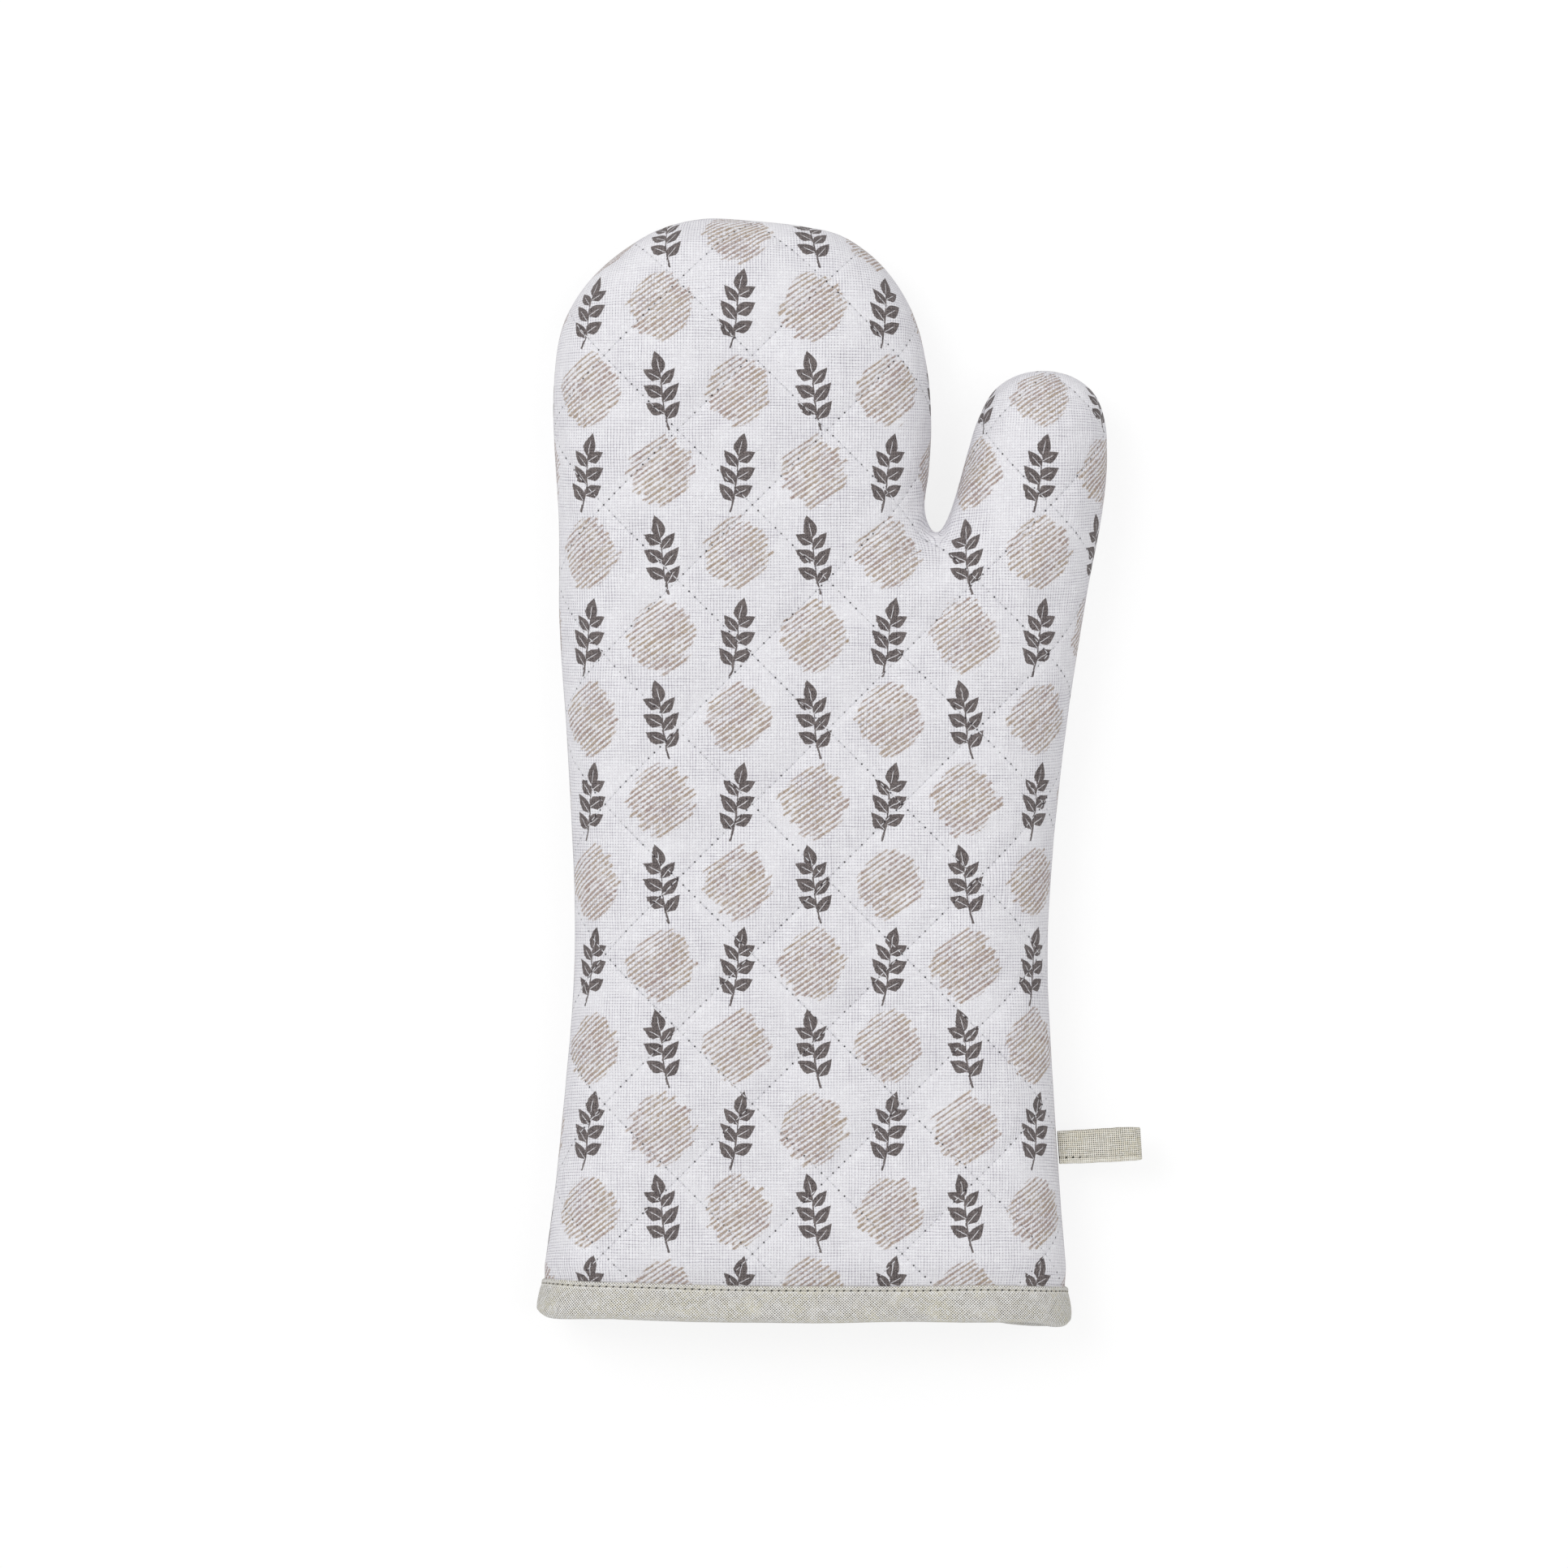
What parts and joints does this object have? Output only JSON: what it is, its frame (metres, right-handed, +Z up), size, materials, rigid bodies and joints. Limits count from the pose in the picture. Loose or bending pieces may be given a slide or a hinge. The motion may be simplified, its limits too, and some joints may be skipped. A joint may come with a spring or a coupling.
{
  "type": "oven glove",
  "caption": "Quilted single oven glove with a separate thumb, padded front and back panels, a bias-bound cuff and a hanging loop on the side seam.",
  "frame": {"origin": "middle of the bounding box seen from above, at the height of the surface that the glove's back lies on", "axes": "+Z up, out of the front panel; +Y from the cuff to the fingertips; +X to the side with the thumb and the hanging loop"},
  "size_m": [0.1924, 0.3498, 0.0383],
  "materials": {
    "printed_cotton": "plain-woven white cotton, printed in charcoal and taupe",
    "wadding": "soft matt fibre wadding",
    "lining_cotton": "plain white cotton",
    "bias_tape": "warm grey cotton, cut on the bias",
    "loop_tape": "warm grey cotton, cut on the straight grain",
    "sewing_thread": "spun sewing thread"
  },
  "bodies": {
    "glove": {"front_cover": "printed_cotton", "front_wadding": "wadding", "front_lining": "lining_cotton", "back_cover": "printed_cotton", "back_wadding": "wadding", "back_lining": "lining_cotton", "seam_allowance": "lining_cotton", "cuff_binding": "bias_tape", "binding_needle_thread": "sewing_thread", "binding_bobbin_thread": "sewing_thread"},
    "loop": {"hanging_loop": "loop_tape", "loop_thread": "sewing_thread"}
  },
  "joints": [
    {"name": "loop_swing", "type": "hinge", "parent": "glove", "child": "loop", "pos_m": [0.07063, -0.11781, 0.01615], "axis": [0.065, -0.9979, 0], "range_deg": [-25, 85], "stiffness_Nm_per_rad": 0.004}
  ]
}
